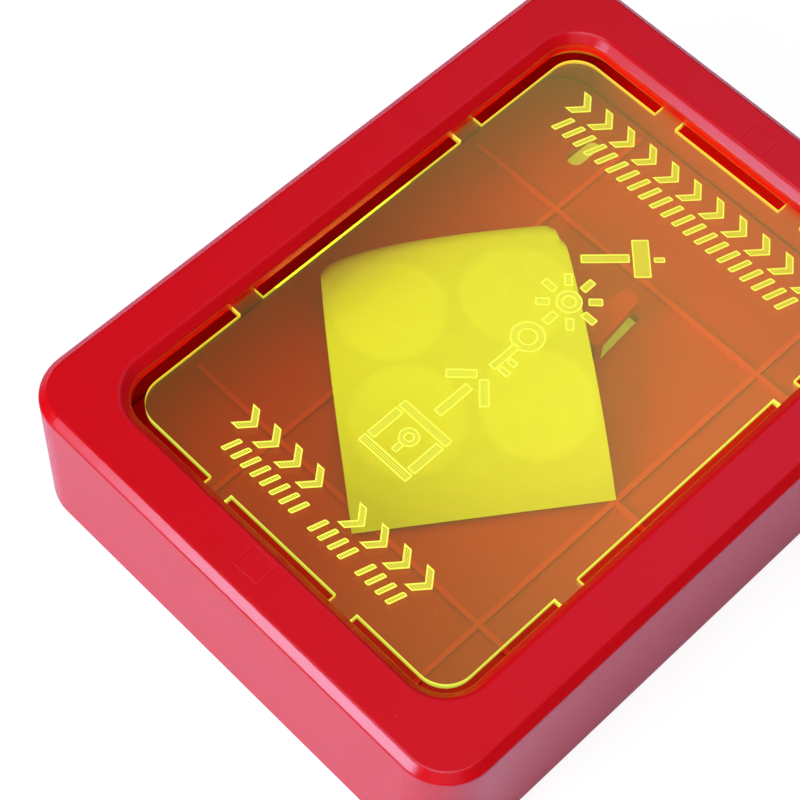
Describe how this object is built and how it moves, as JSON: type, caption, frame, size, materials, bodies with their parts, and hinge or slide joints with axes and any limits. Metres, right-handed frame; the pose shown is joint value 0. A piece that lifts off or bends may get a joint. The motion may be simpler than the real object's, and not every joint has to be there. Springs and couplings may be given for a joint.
{
  "type": "break glass key box",
  "caption": "Wall box with a drafted front cover, a slotted acrylic pane that breaks out, and a back plate with a key hook.",
  "frame": {"origin": "centre of the box's back, in the plane of the wall", "axes": "+Z out of the front face, +Y up when the box hangs on a wall, +X to the right as seen from the front"},
  "size_m": [0.12, 0.16, 0.036],
  "materials": {
    "abs_red": "red ABS moulding with a fine satin spark texture",
    "acrylic_yellow": "clear fluorescent yellow-green acrylic sheet, laser cut, with bright edges",
    "liner_paper": "coated white release paper",
    "pad_foam": "white double-sided adhesive foam"
  },
  "bodies": {
    "back": {"back_plate": "abs_red"},
    "cover": {"front_cover": "abs_red", "break_pane": "acrylic_yellow"},
    "pad_sheet": {"pad_liner": "liner_paper", "adhesive_pad_1": "pad_foam", "adhesive_pad_2": "pad_foam", "adhesive_pad_3": "pad_foam", "adhesive_pad_4": "pad_foam"}
  },
  "joints": [
    {"name": "cover_lift", "type": "slide", "parent": "back", "child": "cover", "axis": [0, 0, 1], "range_m": [0, 0.04]},
    {"name": "pad_sheet_lift", "type": "slide", "parent": "back", "child": "pad_sheet", "axis": [0, 0, 1], "range_m": [0, 0.013]}
  ]
}
